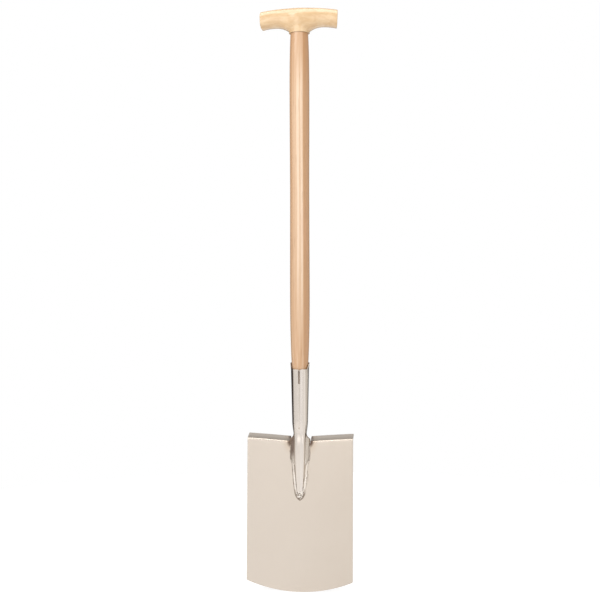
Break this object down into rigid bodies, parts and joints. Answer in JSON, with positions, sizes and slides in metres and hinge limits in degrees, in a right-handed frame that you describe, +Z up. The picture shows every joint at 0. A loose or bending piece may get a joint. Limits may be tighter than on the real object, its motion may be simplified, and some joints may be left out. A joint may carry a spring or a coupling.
{
  "type": "garden spade",
  "caption": "Digging spade with a wooden T grip and round shaft, and a square folded-tread blade welded to a rolled steel socket.",
  "frame": {"origin": "under the middle of the footprint, at the height of the lowest point of the cutting edge", "axes": "+Z up the shaft from the cutting edge to the grip, +X along the blade's width, -Y the way the digging face and the socket's seam look"},
  "size_m": [0.1904, 0.0397, 1.0435],
  "materials": {
    "blade_steel": "satin rolled stainless steel",
    "socket_steel": "polished lengthwise",
    "weld_steel": "rippled weld bead with straw-coloured heat tint beside it",
    "fixing_steel": "plain steel",
    "ash_wood": "clear satin lacquer, grain along the shaft",
    "grip_wood": "clear satin lacquer, grain along the grip"
  },
  "bodies": {
    "root": {"blade": "blade_steel", "socket": "socket_steel", "weld_left": "weld_steel", "weld_right": "weld_steel", "weld_tip": "weld_steel", "weld_notch": "weld_steel", "weld_seam_tack": "weld_steel", "shaft": "ash_wood", "socket_screw": "fixing_steel", "grip": "grip_wood", "grip_pin": "fixing_steel"}
  },
  "joints": []
}
